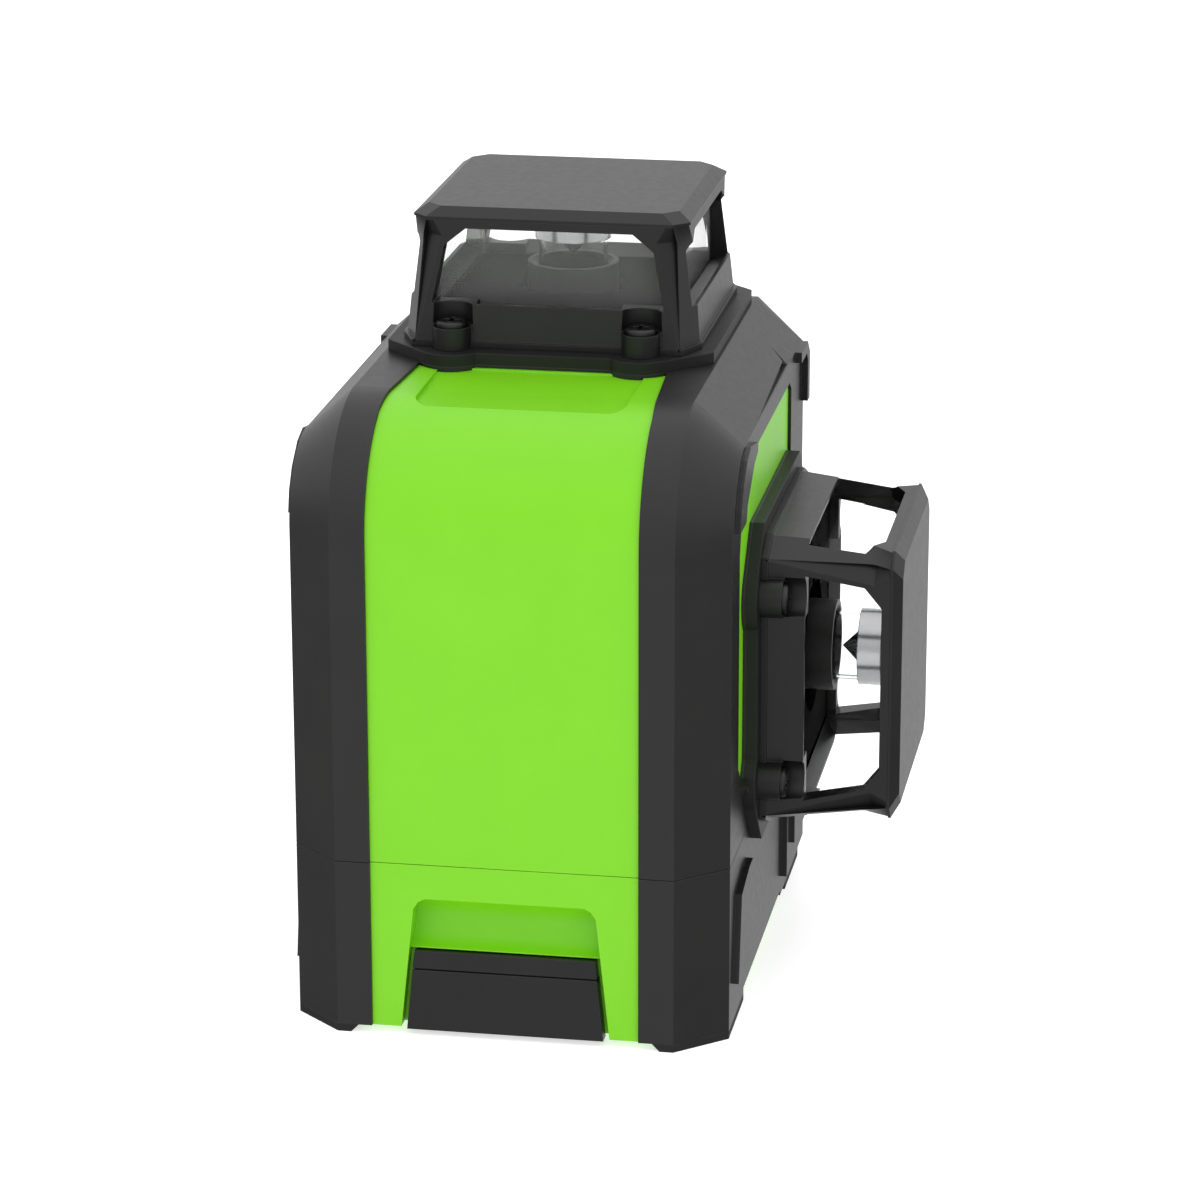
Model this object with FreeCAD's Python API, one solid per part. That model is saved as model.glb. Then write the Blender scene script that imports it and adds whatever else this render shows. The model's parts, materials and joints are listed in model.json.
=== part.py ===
import FreeCAD, Part
import math
import os

# Self-levelling cross-line laser level with two all-round window heads, in millimetres.
#
# Frame: +Z is up, the front window looks along -Y, and the finger scoop and the battery are at
# the near end, -X.  The origin is on the floor, on the plumb axis of the upper laser, which is
# also the axis of the tripod thread.  Heights are above the floor.  "From near" means measured
# along X from the near end face.

V = FreeCAD.Vector
os.makedirs("parts", exist_ok=True)

# ================================================================ driving dimensions
far_out = 200.0                  # longer than anything, for through cuts
overlap = 0.2                    # how far two shapes run into each other before they are joined

# ---------------------------------------------------------------- body
body_length = 108.5
body_half_width = 38.7
body_top = 112.1
near_end = -71.3
far_end = near_end + body_length
mid_x = near_end + body_length / 2
near_shoulder = 22.0             # round between the near end face and the top
far_shoulder = 11.0
near_shoulder_z = body_top - near_shoulder
far_shoulder_z = body_top - far_shoulder
flat_half_width = 30.0           # half width of an end face between its corner chamfers
chamfer_run = 7.8                # what the chamfer takes off the length and the height
chamfer_rise = body_half_width - flat_half_width
seam_height = 32.0               # parting line between the upper and base housings
seam_gap = 0.06                  # each housing stops this far from the parting line
base_bottom = 1.4
floor_top = 4.0

# Shell layers, each measured inwards from the outer form
colour_inset = 0.6               # bare housing where it shows between the overmoulds
skin = 1.5                       # soft overmould
shell = 3.2                      # inside face of the housing

# Bare strip over both ends and the top: wide up to the first mark, narrow after the second
strip_half_end = 23.8
strip_half_top = 22.3
strip_marks = (14.0, 39.0)       # from near

# Bare panel on each long side: (from near, height)
side_panel = [(17, 47), (17, 86), (20, 94), (28, 99), (36, 100.3), (81, 100.3), (83.4, 98.6),
              (83.4, 42), (77, 37), (28, 37)]

# Tray in the strip, ahead of the upper window: floor (x, z), rear part rises to the gasket
tray_half_width = 18.5
tray_corner = 4.0
tray_floor = [(-57.0, 110.65), (-45.0, 110.65), (-32.0, 111.2)]

# Seal between the housings: groove and cord, as insets from the outer form, and half height
seal_groove_size = (1.85, 2.85, 0.7)
seal_cord_size = (1.9, 2.8, 0.6)

# ---------------------------------------------------------------- guards on the long sides
guard_root = 1.3                 # how deep a guard is rooted in the overmould
# Each pad: outline as (from near, height), then how far it stands proud
guard_pads = [
    ([(11, 91.8), (12, 95.6), (14.4, 99.2), (18.8, 102.6), (23, 103.9), (32, 102.4), (32, 100.7),
      (27.8, 99.7), (19.4, 94.4), (18.4, 91.8)], 0.95),
    ([(88, 102.3), (88, 104.3), (97, 104.3), (100.3, 101.5), (100.3, 92.6), (97.4, 92.6), (97.4, 100.6),
      (95.6, 102.3)], 1.3),
    ([(11.4, 9), (14.6, 24.6), (24, 26.4), (28.5, 26.4), (28.5, 23), (19, 21), (16.4, 9)], 1.2),
    ([(20.5, 42.4), (38.4, 26.8), (42, 26.8), (42, 30), (27, 44)], 1.2),
    ([(75, 5.3), (75, 30.5), (98.5, 30.5), (98.5, 5.3)], 1.25),
    ([(78.5, 10.9), (78.5, 29), (96.5, 29), (96.5, 10.9)], 2.2),
]
# Crease in each roof chamfer above the bare side panels: (from near, y, height) of its two tips,
# with its corner between them; width and depth are those at the corner
crease_line = [(80.3, -34.4, 108.16), (78, -38.1, 104.8), (29, -38.7, 104.3)]
crease_size = (1.3, 1.0)
crease_lift = 0.2                # how far the cutting wedge stands above the chamfer
foot_length = (26.0, 82.0)       # near feet end and far feet start here, from near
foot_inner_y = 26.3
foot_bevel = (27.6, 26.2)        # inner edge of a foot at the floor and at its top
arch = (26.0, 75.0, 12.4, 2.4)   # ground clearance under the long sides: from, to, width, height

# ---------------------------------------------------------------- window heads
# In a head's own frame: u along X, v across, n out of the body.
front_x = near_end + 57.0
front_z = 57.9
gasket_thick = 2.07
gasket_half_u = 23.9
gasket_half_v = 29.5
gasket_end_u = 31.3
lobe_radius = 6.0
boss_u = 27.9
boss_v = 17.0
boss_radius = 3.45
boss_top = 6.1
boss_pocket = 3.75               # recess in the frame wall around each boss
boss_pocket_top = 11.0
screw_seat = 5.3
screw_seat_radius = 3.0
frame_top = 24.5
frame_flare = 20.3               # the posts widen to the rim above this height
frame_base_half = (27.5, 26.6)
frame_flange = (0.45, 1.2)       # a low step round the foot of the frame: width and height
frame_top_half = (24.6, 24.6)
post_corner = (6.4, 2.7)         # corner facet of the posts along u and v
rim_corner = (2.7, 2.7)
cavity_half = 22.0               # pocket for the glass
throat_half = 20.4               # opening below the glass
plate_low = 6.5
plate_high = 8.0
sill = 9.7
aperture_u = [(20.9, sill), (18.8, 20.0), (15.0, 23.0)]    # in the walls that face along u
aperture_v = [(21.8, sill), (21.3, 19.6), (16.0, 22.6)]    # in the walls that face along v
sill_lip = 0.7                   # flat left on top of each sill; the rest slopes down to the glass
cap_rim_top = 24.95
cap_top = 26.5
cap_rim_half = (24.6, 24.9)
cap_face_half = (22.45, 22.6)
glass_thick = 1.4
glass_play = 0.1
plate_play = 0.05
# Corner grooves, as (height, width on the u face, width on the facet, depth)
corner_grooves = [(2.6, 0.1, 0.05, 0.1), (21.6, 2.9, 0.6, 2.5), (24.3, 1.1, 0.3, 0.6)]

# ---------------------------------------------------------------- laser heads
barrel_radius = 8.3
barrel_bore = 6.5
barrel_back = -22.0
barrel_front = 12.3
barrel_lead = 0.9                # bevel at the mouth of the bore
diode_bore = 3.0
diode_depth = -18.0
lens_back = 4.8
lens_thick = 1.3
tube_outer = 6.3
tube_inner = 5.7
tube_groove_play = 0.05
tube_depth = 1.0                 # how far the tube sits in the mirror ring
mirror_face = 16.7
mirror_radius = 6.95
mirror_back = 21.0
cone_height = 3.3
cone_tip = 0.05
top_opening = 10.0               # clearance hole round the upper barrel
front_opening = 12.5             # clearance hole round the front barrel
top_shell_opening = 13.0
front_shell_opening = 13.0
gasket_opening = 14.0

# ---------------------------------------------------------------- battery, scoop and latch
bay_half = 15.2
bay_top = 15.9
bay_roof = 17.8
bay_depth = 61.8                 # from near
bay_wall = 1.6
rail_groove = (8.0, 10.4, 1.3)   # low, high, width beyond the bay
pack_half = 15.0
pack_low = 1.6
pack_high = 15.7
pack_front = 3.6                 # from near
pack_back = 58.0
rail = (8.2, 10.2, 1.1)          # low, high, width beyond the pack
rail_ends = (3.0, 2.0)           # the rail stops this far short of the pack's ends
contact_y = (-9.0, -3.0, 3.0, 9.0)
contact_pad = (2.0, 0.6, 5.0, 12.0)    # half width, depth, low, high
contact_leaf = (1.2, 6.0, 11.0, 0.6)   # half width, low, high, radius of its crest
crease_z = 12.55                 # line between the battery front and the latch
crease_gap = 0.15
front_plate_low = 1.1
front_plate_top = 15.8
front_plate_half = (17.55, 16.1)  # at the bottom and at the top
front_plate_face = 0.3           # from near
front_plate_back = 3.0
latch_back = 2.6
latch_lean = 0.45                # the latch face leans back this much over its height
hinge_x = 1.6                    # latch axis, from near
knuckle_radius = 0.9
knuckle_play = 0.08
neck = (2.8, 13.0, 3.0, 11.0)    # joint of front and pack: start, half width, low, high
scoop_cove = (0.6, 20.73, 4.91)  # centre from near, its height, radius
scoop_floor = 16.0               # top of the room for the battery front
scoop_top = 25.7
scoop_depth = 3.4                # room for the battery front
scoop_half = [(18.6, -1.0), (18.6, base_bottom), (16.2, 23.7), (15.3, 25.0), (14.0, scoop_top)]
scoop_block = (8.2, 18.5, 28.0)  # solid behind the scoop: depth, half width, top

# ---------------------------------------------------------------- fasteners
screw_shaft = 1.45
screw_head = 2.8
screw_head_high = 1.9
screw_hole = 1.5
clearance_hole = 1.6
head_round = 0.7
cross_slot = (1.5, 0.35, 1.0)    # half length, half width and depth of the recess
window_screw_end = -9.0
housing_screw_seat = 4.7
housing_screw_length = 39.0
housing_screw_pocket = 3.1
housing_post = 4.0
housing_post_top = 46.0
housing_screw_places = [(x, y) for x in (near_end + 9.8, far_end - 9.7) for y in (-22.5, 22.5)]
frame_screw_half = (20.0, 26.0)
frame_screw_end = 24.0
frame_post = 3.5
frame_post_bore = 22.0
boss_column = (3.6, 13.0, 11.0)  # radius, depth under the top head, depth under the front head

# Tripod thread, 1/4 inch - 20: tapping bore
tripod_bore = 2.55
tripod_depth = 9.0
bushing_radius = 6.5
bushing_neck = 4.2
bushing_top = 10.2
bushing_step = 0.2               # the wide part starts this far above the floor
bushing_block = (9.0, 11.0)      # radius and top of the plastic round it

# ---------------------------------------------------------------- inner frame, gimbal, pendulum
pivot_z = 101.0
swing_radius = 61.0              # the pendulum's underside is part of a sphere about the pivot
frame_plate = (33.5, 36.5)
frame_plate_half = (29.0, 30.0)
frame_ear_half = (33.0, 10.0)
upright = (26.5, 31.0)           # inner and outer face
upright_half = 8.0
upright_top = 105.2
brace = [(30.9, 36), (33, 36), (32.4, 60), (30.9, 80)]
brace_half = 1.5
frame_slot = (18.0, 5.0, 12.0)   # centre, half width and half length of the lightening slots
ring_inner = 15.0
ring_outer = 21.5
ring_half_height = 4.0
ring_pin = 1.5
ring_pin_span = (15.6, 30.4)
pendulum_pin = 1.0
pendulum_pin_span = (8.4, 20.2)
pin_clearance_bore = 1.4
post_clearance = 4.5             # notches in the floor plate round the far screw posts
ring_bearing = (3.0, 1.03, 16.4, 19.0)    # outer, bore, inner and outer face
frame_bearing = (4.0, 1.53, 26.8, 29.8)
sleeve = (11.5, 78.0, 104.0)     # radius, low, high
column = (12.0, 41.5, 84.0)
front_sleeve = (11.0, -32.0, -14.0)       # radius, from, to along Y
link_half = 7.0
link_front = -26.0
weight = (3.0, 21.0, -6.0, 16.0, 43.5, 62.0)
damping = (11.5, 39.0, 41.5)     # copper plate: radius, low, high
magnet = (12.0, 7.0, 36.5, 38.6)
trim_y = ((15.0, 54.0), 10.0, 20.0, 18.5)    # (x, z), hole from, hole to, screw end
trim_x = ((4.0, 50.0), 15.0, 25.0, 22.5)     # (y, z), hole from, hole to, screw end
trim_radius = 1.5

# ---------------------------------------------------------------- pendulum lock
lock_x = -10.0
lock_travel = 6.0
lock_slot_size = (3.3, 20.0, 24.0)        # half length, low, high
lock_arm = (3.0, 20.2, 23.8)              # half length, low, high
lock_knob = (7.0, 17.4, 26.6, 0.2, 2.8)   # half length, low, high, near and far face from the body
knob_round = 0.8
grip_places = (-4.0, -2.0, 0.0, 2.0, 4.0)
grip = (0.5, 0.6)                # half width, depth
cam_half = 4.0
cam_end = 3.0
cam_contact_x = -2.5
plunger_radius = 2.5
plunger_low = 26.0
plunger_top = 38.0
plunger_lift = 1.6
plunger_gap = 0.2
guide_bore = 2.53
guide_body = (5.0, 29.0, 36.5)
guide_flange = (6.8, 31.9, 33.5)

# ---------------------------------------------------------------- keypad, boards and port
keypad_z = 66.0
keypad_half = (24.0, 15.0)
keypad_sink = 0.8                # floor of its pocket below the bare housing
panel_play = 0.1
panel_thick = 2.0
panel_round = 0.8
button_pitch = 14.5
button_x = [front_x - button_pitch, front_x, front_x + button_pitch]
button_z = keypad_z - 2.5
button_radius = 4.7
button_play = 0.3
button_face = 1.6                # above the body side
button_flange = (5.6, 35.7, 36.7)
button_stem = (2.0, 33.2)
button_hole = 6.0
led_pitch = 8.0
led_x = [front_x - led_pitch, front_x, front_x + led_pitch]
led_z = keypad_z + 9.0
led_hole = 1.5
led_radius = 1.45
led_span = (34.5, 39.6)
keypad_board_size = (23.0, 13.0, 29.0, 30.6)
switch_size = (3.0, 1.5)         # half width, height
led_size = (1.5, 2.4)
keypad_post = (20.3, 2.4, 36.5)  # half pitch, radius, root
board_near = 24.4                # from near
board_thick = 1.6
board_half = 26.0
board_span = (38.0, 87.0)
# Chips on the main board: height above it, then y and z ranges
chips = [(1.6, -7, 7, 58, 72), (3.0, 12, 20, 46, 60), (5.0, -20, -12, 44, 54), (2.0, -18, -10, 66, 74)]
board_posts = [(y, z) for y in (-20, 20) for z in (42, 82)]
board_post = 3.0
port_z = 18.0
port_recess = (8.0, 4.5, 1.4)    # half width, half height, depth
port_hole = (4.65, 1.75)
socket_half = (4.45, 1.6)
socket_span = (9.2, 2.2)         # from the far end
socket_mouth = (3.9, 1.1, 7.5)
socket_tongue = (3.2, 0.35, 8.0, 3.2)
port_board = (12.0, 3.5, 9.0, 1.6)
flap_half = 7.8
flap_span = (13.7, 21.75)        # lower edge and hinge axis
flap_thick = 1.1
flap_pull = (3.0, 14.0, 15.2, 0.7)


# ================================================================ small helpers
def box(x0, x1, y0, y1, z0, z1):
    return Part.makeBox(x1 - x0, y1 - y0, z1 - z0, V(x0, y0, z0))


def rod(radius, start, end):
    start, end = V(*start), V(*end)
    return Part.makeCylinder(radius, (end - start).Length, start, end - start)


def tube(outer, inner, start, end):
    return rod(outer, start, end).cut(rod(inner, start, end))


def closed(points):
    return Part.makePolygon(points + points[:1])


def prism_xz(points, y0, y1):
    return Part.Face(closed([V(x, y0, z) for x, z in points])).extrude(V(0, y1 - y0, 0))


def prism_xy(points, z0, z1):
    return Part.Face(closed([V(x, y, z0) for x, y in points])).extrude(V(0, 0, z1 - z0))


def prism_yz(points, x0, x1):
    return Part.Face(closed([V(x0, y, z) for y, z in points])).extrude(V(x1 - x0, 0, 0))


def joined(shapes):
    first, rest = shapes[0], shapes[1:]
    return first.fuse(rest).removeSplitter() if rest else first


def without(shape, tools):
    return shape.cut(tools).removeSplitter()


def from_near(distance):
    return near_end + distance


def moved(shape, x, y, z=0.0):
    copy = shape.copy()
    copy.translate(V(x, y, z))
    return copy


def mirrored_y(shape):
    return shape.mirror(V(0, 0, 0), V(0, 1, 0))


def four_corners(half_x, half_y):
    return [(sx * half_x, sy * half_y) for sx in (-1, 1) for sy in (-1, 1)]


def octagon(half, corner, height):
    """Closed rectangle with cut corners: half sizes, and what each corner takes off them."""
    (half_u, half_v), (cut_u, cut_v) = half, corner
    quarter = [(half_u, half_v - cut_v), (half_u - cut_u, half_v)]
    mirrored = [(-u, v) for u, v in reversed(quarter)]
    upper = quarter + mirrored
    lower = [(u, -v) for u, v in reversed(upper)]
    return closed([V(u, v, height) for u, v in upper + lower])


def save(name, shapes):
    shape = Part.makeCompound(shapes) if isinstance(shapes, list) else shapes
    shape.exportStep("parts/" + name + ".step")


# ================================================================ outer form
def corner_cuts(inset):
    """The chamfer's two legs on the form that lies `inset` inside the outer one."""
    slant = math.hypot(chamfer_run, chamfer_rise)
    run = chamfer_run - inset + inset * (slant - chamfer_run) / chamfer_rise
    rise = chamfer_rise - inset + inset * (slant - chamfer_rise) / chamfer_run
    return run, rise


def plan_points(inset):
    run, rise = corner_cuts(inset)
    x0, x1 = near_end + inset, far_end - inset
    half = body_half_width - inset
    return [(x0, -half + rise), (x0 + run, -half), (x1 - run, -half), (x1, -half + rise),
            (x1, half - rise), (x1 - run, half), (x0 + run, half), (x0, half - rise)]


def body_form(inset, low):
    """Block with round shoulders whose chamfer follows the whole side outline."""
    run, rise = corner_cuts(inset)
    half = body_half_width - inset
    top = body_top - inset
    near_x, far_x = near_end + near_shoulder, far_end - far_shoulder
    lower = prism_xy(plan_points(inset), low, near_shoulder_z)
    far_part = prism_xy(plan_points(inset), low, far_shoulder_z)
    far_part = far_part.common(box(near_x, far_out, -far_out, far_out, low, far_out))
    section = [(-half, near_shoulder_z), (-half, top - run), (-half + rise, top),
               (half - rise, top), (half, top - run), (half, near_shoulder_z)]
    bar = prism_yz(section, near_x, far_x)
    coins = []
    for x, z, outer_radius in ((near_x, near_shoulder_z, near_shoulder),
                               (far_x, far_shoulder_z, far_shoulder)):
        radius = outer_radius - inset
        outline = [(0, -half), (radius - run, -half), (radius, -half + rise),
                   (radius, half - rise), (radius - run, half), (0, half)]
        face = Part.Face(closed([V(x + r, y, z) for r, y in outline]))
        coins.append(face.revolve(V(x, 0, z), V(0, 1, 0), 360))
    return joined([lower, far_part, bar] + coins)


def above_seam(shape):
    return shape.common(box(-far_out, far_out, -far_out, far_out, seam_height + seam_gap, far_out))


def below_seam(shape):
    return shape.common(box(-far_out, far_out, -far_out, far_out, -far_out, seam_height - seam_gap))


def strip_region():
    start, end = [from_near(mark) for mark in strip_marks]
    half = [(-far_out, strip_half_end), (start, strip_half_end), (end, strip_half_top),
            (2 * mid_x - end, strip_half_top), (2 * mid_x - start, strip_half_end),
            (far_out, strip_half_end)]
    return prism_xy(half + [(x, -y) for x, y in reversed(half)], -far_out, far_out)


def side_panel_region():
    """Bare panel on each long side, above the seam."""
    points = [(from_near(x), z) for x, z in side_panel]
    near_side = prism_xz(points, -far_out, -body_half_width + shell)
    return near_side.fuse(mirrored_y(near_side))


def seal_ring(size):
    outer, inner, half_height = size
    low, high = seam_height - half_height, seam_height + half_height
    return prism_xy(plan_points(outer), low, high).cut(prism_xy(plan_points(inner), low, high))


# ================================================================ window mounting
def place(shape, window):
    """Moves a shape from a head's own frame to the top or to the front of the body."""
    placed = shape.copy()
    if window == "front":
        placed.rotate(V(0, 0, 0), V(1, 0, 0), 90)
        placed.translate(V(front_x, -body_half_width, front_z))
    else:
        placed.translate(V(0, 0, body_top))
    return placed


def gasket_outline(low, high):
    """Rectangle with a round lobe under each screw boss."""
    dx, dy = boss_u - gasket_half_u, gasket_half_v - boss_v
    reach = math.hypot(dx, dy)
    turn = math.atan2(dx, dy) + math.asin(lobe_radius / reach)
    length = math.sqrt(reach ** 2 - lobe_radius ** 2)
    touch = (gasket_half_u + length * math.sin(turn), gasket_half_v - length * math.cos(turn))
    half = [(gasket_half_u, gasket_half_v), touch, (boss_u, boss_v), (gasket_end_u, boss_v),
            (gasket_end_u, -boss_v), (boss_u, -boss_v), (touch[0], -touch[1]),
            (gasket_half_u, -gasket_half_v)]
    plate = prism_xy(half + [(-u, v) for u, v in reversed(half)], low, high)
    lobes = [rod(lobe_radius, (u, v, low), (u, v, high)) for u, v in four_corners(boss_u, boss_v)]
    return joined([plate] + lobes)


def boss_rods(radius, low, high):
    return [rod(radius, (u, v, low), (u, v, high)) for u, v in four_corners(boss_u, boss_v)]


def window_seats(core):
    """Flat pads under the two gaskets, down to the housing core."""
    top = place(gasket_outline(-far_shoulder, 0), "top")
    front = place(gasket_outline(-skin, 0), "front")
    return [top.cut(core), front.cut(core)]


def window_openings():
    """Barrel holes and screw holes through the shells behind the windows."""
    depth = 12.0
    cuts = [place(rod(top_shell_opening, (0, 0, -depth), (0, 0, depth)), "top"),
            place(rod(front_shell_opening, (0, 0, -depth), (0, 0, depth)), "front")]
    for window in ("top", "front"):
        cuts += [place(hole, window) for hole in boss_rods(screw_hole, window_screw_end - 1, depth)]
    return cuts


# ================================================================ guards on the long sides
def side_guards():
    """Raised guards moulded on each long side; written for the -Y side."""
    inner_y = -body_half_width + guard_root
    pieces = []
    for points, proud in guard_pads:
        outline = [(from_near(x), z) for x, z in points]
        pieces.append(prism_xz(outline, -body_half_width - proud, inner_y))
    return joined(pieces)


def tapered_groove(tip, corner):
    """Wedge that cuts a groove from nothing at its tip to its full size at the corner."""
    width, depth = crease_size
    outwards = V(0, -chamfer_run, chamfer_rise).normalize()
    along = (corner - tip).normalize()
    across = along.cross(outwards)
    lift = outwards * crease_lift
    mouth = corner + along * (width / 4)
    points = [tip + lift, mouth + across * (width / 2) + lift, mouth - across * (width / 2) + lift,
              mouth - outwards * depth]
    faces = [Part.Face(closed(points[:skip] + points[skip + 1:])) for skip in range(4)]
    return Part.Solid(Part.Shell(faces))


def roof_creases():
    """The bent crease pressed into both roof chamfers."""
    upper_tip, corner, lower_tip = [V(from_near(x), y, z) for x, y, z in crease_line]
    grooves = [tapered_groove(upper_tip, corner), tapered_groove(lower_tip, corner)]
    return grooves + [mirrored_y(groove) for groove in grooves]


# ================================================================ battery end
def scoop_cut():
    """Room for the battery front, and the finger scoop with its round roof above it."""
    outline = scoop_half + [(-y, z) for y, z in reversed(scoop_half)]
    centre_x, centre_z, radius = scoop_cove
    prism = prism_yz(outline, -far_out, from_near(centre_x + radius + 1))
    half = scoop_half[0][0] + 2
    front_room = prism.common(box(-far_out, from_near(scoop_depth), -half, half, -5, scoop_floor))
    centre_x = from_near(centre_x)
    cove = rod(radius, (centre_x, -half, centre_z), (centre_x, half, centre_z))
    upper = box(-far_out, far_out, -half, half, scoop_floor, far_out)
    return front_room.fuse(cove.common(upper).common(prism))


def bay_cut():
    low, high, width = rail_groove
    bay = box(-far_out, from_near(bay_depth), -bay_half, bay_half, -5, bay_top)
    grooves = box(-far_out, from_near(bay_depth), -bay_half - width, bay_half + width, low, high)
    return bay.fuse(grooves)


def battery_pack():
    x0, x1 = from_near(pack_front), from_near(pack_back)
    low, high, width = rail
    body = box(x0, x1, -pack_half, pack_half, pack_low, pack_high)
    rails = box(x0 + rail_ends[0], x1 - rail_ends[1], -pack_half - width, pack_half + width, low, high)
    half, depth, pad_low, pad_high = contact_pad
    pads = [box(x1 - depth, x1 + 1, y - half, y + half, pad_low, pad_high) for y in contact_y]
    return without(joined([body, rails]), pads)


def front_plate(low, high, back):
    """Slice of the flared battery front between two heights."""
    bottom_half, top_half = front_plate_half

    def half_at(z):
        share = (front_plate_top - z) / (front_plate_top - front_plate_low)
        return top_half + (bottom_half - top_half) * share
    outline = [(-half_at(low), low), (half_at(low), low), (half_at(high), high), (-half_at(high), high)]
    return prism_yz(outline, from_near(front_plate_face), from_near(back))


def hinge_rod(radius, half):
    return rod(radius, (from_near(hinge_x), -half, crease_z), (from_near(hinge_x), half, crease_z))


def battery_pack_front():
    start, half, low, high = neck
    plate = front_plate(front_plate_low, crease_z - crease_gap, front_plate_back)
    socket = hinge_rod(knuckle_radius + knuckle_play, far_out)
    return joined([without(plate, [socket]),
                   box(from_near(start), from_near(pack_front), -half, half, low, high)])


def battery_latch():
    """Upper part of the front, which tips inwards about its round lower edge."""
    plate = front_plate(crease_z + crease_gap, front_plate_top, latch_back)
    face = from_near(front_plate_face)
    lean = [(-far_out, crease_z), (face, crease_z), (face + latch_lean, front_plate_top),
            (face + latch_lean, far_out), (-far_out, far_out)]
    knuckle = hinge_rod(knuckle_radius, front_plate_half[1])
    return joined([plate.cut(prism_xz(lean, -far_out, far_out)), knuckle])


def battery_contacts():
    half, low, high, crest = contact_leaf
    x0, x1 = from_near(pack_back + 0.3), from_near(bay_depth)
    middle = (low + high) / 2
    leaves = []
    for y in contact_y:
        leaf = box(x0 + crest, x1, y - half, y + half, low, high)
        bump = rod(crest, (x0 + crest, y - half, middle), (x0 + crest, y + half, middle))
        leaves.append(joined([leaf, bump]))
    return leaves


# ================================================================ housings
def top_tray():
    """Shallow tray in the bare strip ahead of the upper window."""
    floor = tray_floor + [(tray_floor[-1][0], far_out), (tray_floor[0][0], far_out)]
    tray = prism_xz(floor, -tray_half_width, tray_half_width)
    near_x = tray_floor[0][0] + 1.5
    rear_x = near_x + tray_corner
    plan = box(rear_x, 0, -tray_half_width, tray_half_width, 0, far_out)
    plan = plan.fuse(box(near_x, rear_x, -tray_half_width + tray_corner,
                         tray_half_width - tray_corner, 0, far_out))
    for side in (-1, 1):
        y = side * (tray_half_width - tray_corner)
        plan = plan.fuse(rod(tray_corner, (rear_x, y, 0), (rear_x, y, far_out)))
    return tray.common(plan)


def keypad_pocket():
    half_x, half_z = keypad_half
    floor_y = body_half_width - colour_inset - keypad_sink
    cuts = [box(front_x - half_x, front_x + half_x, floor_y, far_out, keypad_z - half_z, keypad_z + half_z)]
    inside = body_half_width - 2 * shell
    cuts += [rod(button_hole, (x, inside, button_z), (x, far_out, button_z)) for x in button_x]
    cuts += [rod(led_hole, (x, inside, led_z), (x, far_out, led_z)) for x in led_x]
    return joined(cuts)


def upper_posts():
    """Screw columns under the bosses, corner screw posts and board posts."""
    radius, top_depth, front_depth = boss_column
    posts = [place(post, "top") for post in boss_rods(radius, -top_depth, -skin)]
    posts += [place(post, "front") for post in boss_rods(radius, -front_depth, -skin)]
    for x, y in housing_screw_places:
        wall_x = near_end + 2 if x < mid_x else far_end - 2
        posts.append(rod(housing_post, (x, y, seam_height), (x, y, housing_post_top)))
        posts.append(box(min(x, wall_x), max(x, wall_x), y - 1, y + 1, seam_height, housing_post_top))
    for y, z in board_posts:
        posts.append(rod(board_post, (from_near(2), y, z), (from_near(board_near), y, z)))
    half_pitch, radius, root = keypad_post
    board_face = keypad_board_size[3]
    for x in (front_x - half_pitch, front_x + half_pitch):
        posts.append(rod(radius, (x, board_face, keypad_z), (x, root, keypad_z)))
    return above_seam(joined(posts))


def bare_faces(low):
    """Where the housings fill the skin layer: the strip, and the panels on the long sides."""
    form = body_form(colour_inset, low)
    return [strip_region().common(form), side_panel_region().common(form)]


def upper_housing():
    low = seam_height - 5
    core = body_form(skin, low)
    solid = without(joined([core] + bare_faces(low)), [body_form(shell, low - 5)])
    solid = joined([solid, upper_posts().common(core)])
    cuts = window_seats(core) + window_openings()
    cuts += [top_tray(), seal_ring(seal_groove_size), keypad_pocket()]
    cuts += [rod(screw_shaft, (x, y, 0), (x, y, housing_post_top - 2)) for x, y in housing_screw_places]
    return above_seam(without(solid, cuts))


def overmould(keep, with_seats):
    """Soft layer on one housing, open over the bare strip and panels."""
    core = body_form(skin, base_bottom - 5)
    layer = body_form(0, base_bottom).cut(core)
    layer = layer.cut([strip_region(), side_panel_region()])
    guards = side_guards()
    clear_of_gasket = guards.cut(place(gasket_outline(-skin, gasket_thick + 2), "front"))
    layer = joined([layer, clear_of_gasket, mirrored_y(guards)]).cut([core] + bare_faces(base_bottom))
    if with_seats:
        layer = joined([layer] + window_seats(core))
    return keep(layer)


def upper_overmould():
    return without(overmould(above_seam, True), window_openings() + roof_creases())


def side_arches():
    """The long sides clear the ground between the feet."""
    start, end, width, height = arch
    inner = body_half_width - width
    outer = body_half_width + 0.05
    return [box(from_near(start), from_near(end), -outer, -inner, -5, height),
            box(from_near(start), from_near(end), inner, outer, -5, height)]


def lock_slot():
    half, low, high = lock_slot_size
    return box(lock_x - half, lock_x + half + lock_travel, body_half_width - 2 * shell, far_out, low, high)


def port_opening():
    half_y, half_z, depth = port_recess
    hole_y, hole_z = port_hole
    recess = box(far_end - colour_inset - depth, far_out, -half_y, half_y,
                 port_z - half_z, port_z + half_z)
    hole = box(far_end - 2 * shell, far_out, -hole_y, hole_y, port_z - hole_z, port_z + hole_z)
    return recess.fuse(hole)


def base_posts():
    depth, half, top = scoop_block
    posts = [box(from_near(2), from_near(bay_depth + bay_wall), -half, half, base_bottom, bay_roof),
             box(from_near(2), from_near(depth), -half, half, base_bottom, top)]
    for x, y in housing_screw_places:
        posts.append(rod(housing_post, (x, y, base_bottom), (x, y, seam_height)))
    for x, y in four_corners(*frame_screw_half):
        posts.append(rod(frame_post, (x, y, base_bottom), (x, y, frame_plate[0])))
    return posts


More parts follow.
